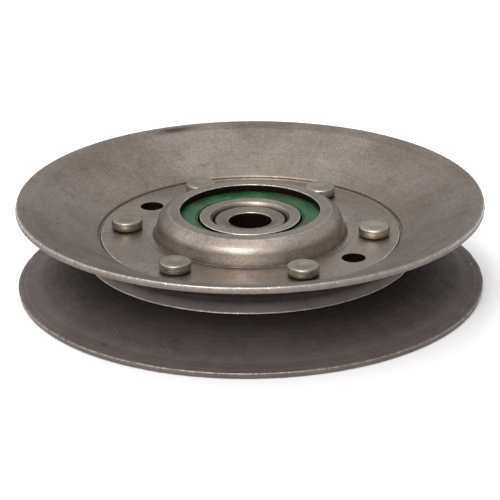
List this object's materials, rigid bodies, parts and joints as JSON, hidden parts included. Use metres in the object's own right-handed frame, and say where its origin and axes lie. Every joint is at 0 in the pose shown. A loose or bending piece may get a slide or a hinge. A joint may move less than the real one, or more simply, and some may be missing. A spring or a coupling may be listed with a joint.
{
  "type": "belt tensioner idler",
  "caption": "Pressed-steel V-belt idler pulley: two dished sheaves riveted round a bearing housing, on a sealed ball bearing with a bolt sleeve.",
  "frame": {"origin": "on the pulley's axis, halfway between the outer edges of the two rims", "axes": "+Z along the axis, out of the side whose dish shows the hub plate sunk in it; rivet 1 lies on +X"},
  "size_m": [0.108, 0.108, 0.0212],
  "materials": {
    "pressed_steel": "bare pressed steel, oily warm grey, worn bright along its edges",
    "rivet_steel": "zinc-plated steel, slightly green-grey, satin",
    "bearing_steel": "ground bearing steel, satin",
    "ball_steel": "polished bearing steel",
    "cage_steel": "pressed steel strip",
    "sleeve_steel": "turned steel, satin",
    "seal_rubber": "dark green moulded rubber, semi-matt"
  },
  "bodies": {
    "bolt_side": {"bearing_inner_race": "bearing_steel", "spacer_sleeve": "sleeve_steel"},
    "wheel": {"upper_sheave": "pressed_steel", "lower_sheave": "pressed_steel", "upper_hub_plate": "pressed_steel", "lower_hub_plate": "pressed_steel", "rivet_1": "rivet_steel", "rivet_2": "rivet_steel", "rivet_3": "rivet_steel", "rivet_4": "rivet_steel", "rivet_5": "rivet_steel", "rivet_6": "rivet_steel", "bearing_outer_race": "bearing_steel", "upper_seal": "seal_rubber", "lower_seal": "seal_rubber"},
    "cage": {"cage_upper": "cage_steel", "cage_lower": "cage_steel"},
    "ball_1_body": {"ball_1": "ball_steel"},
    "ball_2_body": {"ball_2": "ball_steel"},
    "ball_3_body": {"ball_3": "ball_steel"},
    "ball_4_body": {"ball_4": "ball_steel"},
    "ball_5_body": {"ball_5": "ball_steel"},
    "ball_6_body": {"ball_6": "ball_steel"},
    "ball_7_body": {"ball_7": "ball_steel"},
    "ball_8_body": {"ball_8": "ball_steel"}
  },
  "joints": [
    {"name": "pulley_spin", "type": "hinge", "parent": "bolt_side", "child": "wheel", "pos_m": [0, 0, 0], "axis": [0, 0, 1], "continuous": true},
    {"name": "cage_spin", "type": "hinge", "parent": "bolt_side", "child": "cage", "pos_m": [0, 0, 0], "axis": [0, 0, 1], "continuous": true},
    {"name": "ball_1_roll", "type": "hinge", "parent": "cage", "child": "ball_1_body", "pos_m": [0.01425, 0, 0], "axis": [0, 0, 1], "continuous": true},
    {"name": "ball_2_roll", "type": "hinge", "parent": "cage", "child": "ball_2_body", "pos_m": [0.01008, 0.01008, 0], "axis": [0, 0, 1], "continuous": true},
    {"name": "ball_3_roll", "type": "hinge", "parent": "cage", "child": "ball_3_body", "pos_m": [0, 0.01425, 0], "axis": [0, 0, 1], "continuous": true},
    {"name": "ball_4_roll", "type": "hinge", "parent": "cage", "child": "ball_4_body", "pos_m": [-0.01008, 0.01008, 0], "axis": [0, 0, 1], "continuous": true},
    {"name": "ball_5_roll", "type": "hinge", "parent": "cage", "child": "ball_5_body", "pos_m": [-0.01425, 0, 0], "axis": [0, 0, 1], "continuous": true},
    {"name": "ball_6_roll", "type": "hinge", "parent": "cage", "child": "ball_6_body", "pos_m": [-0.01008, -0.01008, 0], "axis": [0, 0, 1], "continuous": true},
    {"name": "ball_7_roll", "type": "hinge", "parent": "cage", "child": "ball_7_body", "pos_m": [0, -0.01425, 0], "axis": [0, 0, 1], "continuous": true},
    {"name": "ball_8_roll", "type": "hinge", "parent": "cage", "child": "ball_8_body", "pos_m": [0.01008, -0.01008, 0], "axis": [0, 0, 1], "continuous": true}
  ],
  "couplings": [
    {"joint": "cage_spin", "follows": "pulley_spin", "ratio": 0.6184},
    {"joint": "ball_1_roll", "follows": "pulley_spin", "ratio": 1.9927},
    {"joint": "ball_2_roll", "follows": "pulley_spin", "ratio": 1.9927},
    {"joint": "ball_3_roll", "follows": "pulley_spin", "ratio": 1.9927},
    {"joint": "ball_4_roll", "follows": "pulley_spin", "ratio": 1.9927},
    {"joint": "ball_5_roll", "follows": "pulley_spin", "ratio": 1.9927},
    {"joint": "ball_6_roll", "follows": "pulley_spin", "ratio": 1.9927},
    {"joint": "ball_7_roll", "follows": "pulley_spin", "ratio": 1.9927},
    {"joint": "ball_8_roll", "follows": "pulley_spin", "ratio": 1.9927}
  ]
}
